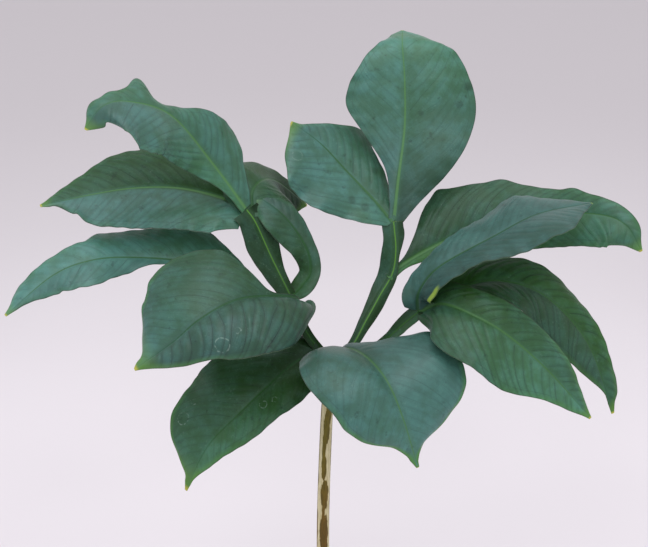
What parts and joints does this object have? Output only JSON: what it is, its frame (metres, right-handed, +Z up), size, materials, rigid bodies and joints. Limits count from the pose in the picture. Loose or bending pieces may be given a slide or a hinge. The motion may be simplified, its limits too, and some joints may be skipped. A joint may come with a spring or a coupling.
{
  "type": "potted amorphophallus plant",
  "caption": "Potted tuberous aroid: one divided leaf of broad pointed leaflets on winged ribs, held up by a mottled stalk in a plain clay flower pot.",
  "frame": {"origin": "middle of the flat underside of the pot", "axes": "+Z up along the stalk, -Y towards the side of the plant that the picture shows, +X to the right there"},
  "size_m": [0.566, 0.2899, 0.816],
  "materials": {
    "clay": "matte",
    "potting_soil": "matte",
    "tuber_skin": "matte",
    "mottled_stalk": "satin",
    "green_rib": "satin",
    "leaf": "satin"
  },
  "bodies": {
    "root": {"pot": "clay", "soil": "potting_soil", "tuber": "tuber_skin", "petiole": "mottled_stalk", "rachis_left": "green_rib", "rachis_centre": "green_rib", "rachis_right": "green_rib", "leaflet_left_1": "leaf", "leaflet_left_2": "leaf", "leaflet_left_3": "leaf", "leaflet_left_4": "leaf", "leaflet_left_5": "leaf", "leaflet_left_6": "leaf", "leaflet_left_7": "leaf", "leaflet_centre_1": "leaf", "leaflet_centre_2": "leaf", "leaflet_centre_3": "leaf", "leaflet_right_1": "leaf", "leaflet_right_2": "leaf", "leaflet_right_3": "leaf", "leaflet_right_4": "leaf"}
  },
  "joints": []
}
